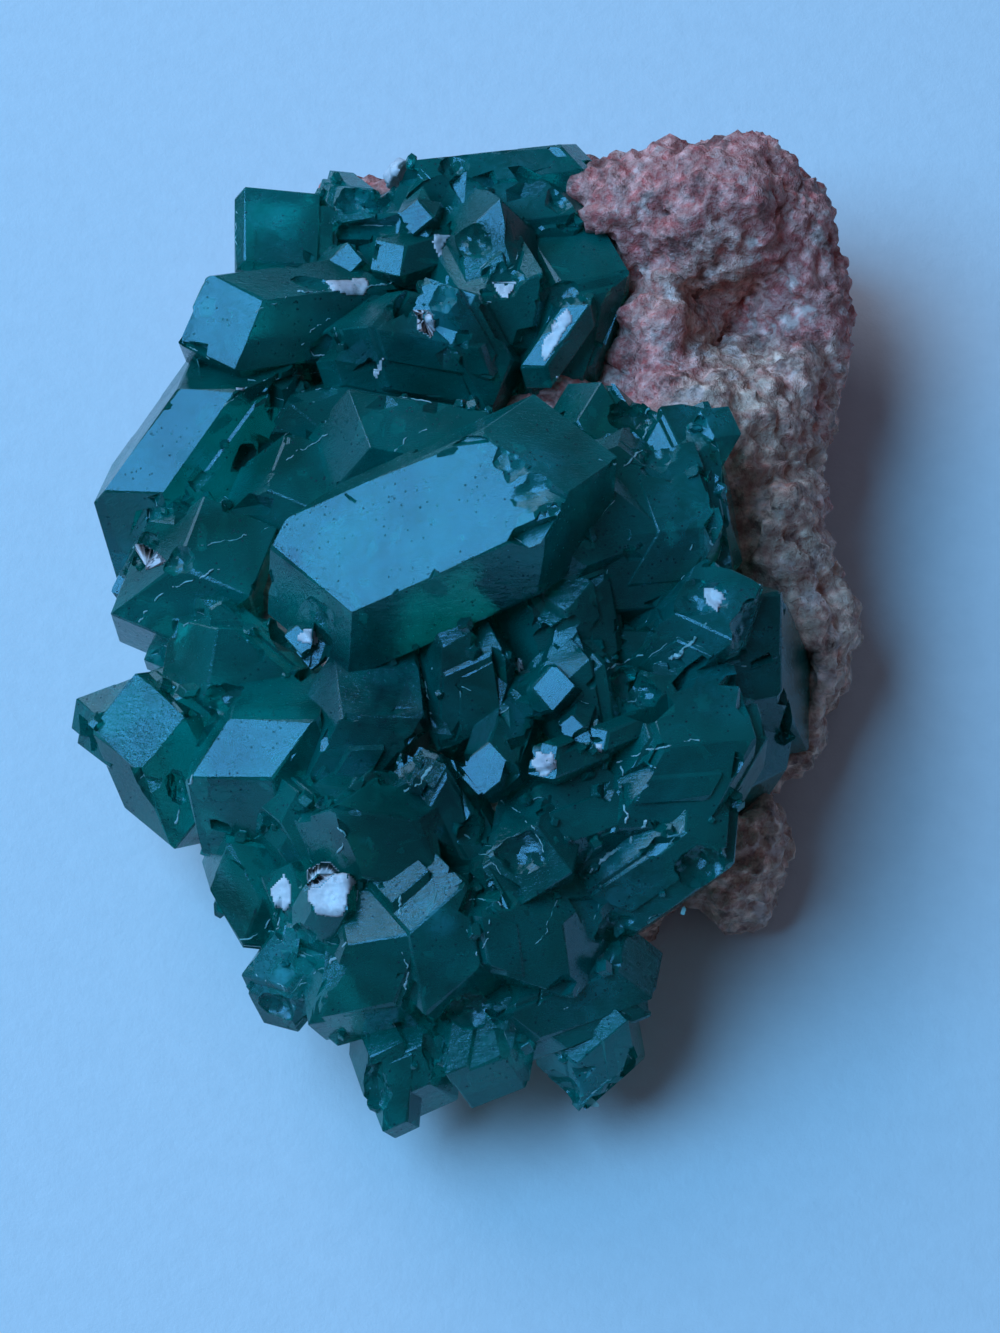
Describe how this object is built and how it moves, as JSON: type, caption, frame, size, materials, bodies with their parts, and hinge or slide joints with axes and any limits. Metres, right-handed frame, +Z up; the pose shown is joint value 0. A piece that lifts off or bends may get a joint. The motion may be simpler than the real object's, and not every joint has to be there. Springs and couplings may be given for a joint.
{
  "type": "dioptase mineral specimen",
  "caption": "Loose hand specimen of deep green dioptase crystals, grown together over a lumpy pink to brown granular rock, resting on a flat underside.",
  "frame": {"origin": "centre of the specimen's outline at the level it rests on", "axes": "+Z up; +Y away from the viewer of the picture, towards the small upper group of crystals; +X to that viewer's right, towards the bare rock"},
  "size_m": [0.036, 0.0484, 0.022],
  "materials": {
    "rock": "rough granular",
    "dioptase": "clear to cloudy, vitreous",
    "pale_mineral": "translucent, frosted"
  },
  "bodies": {
    "root": {"matrix": "rock", "main_cluster": "dioptase", "upper_cluster": "dioptase", "pale_grain": "pale_mineral"}
  },
  "joints": []
}
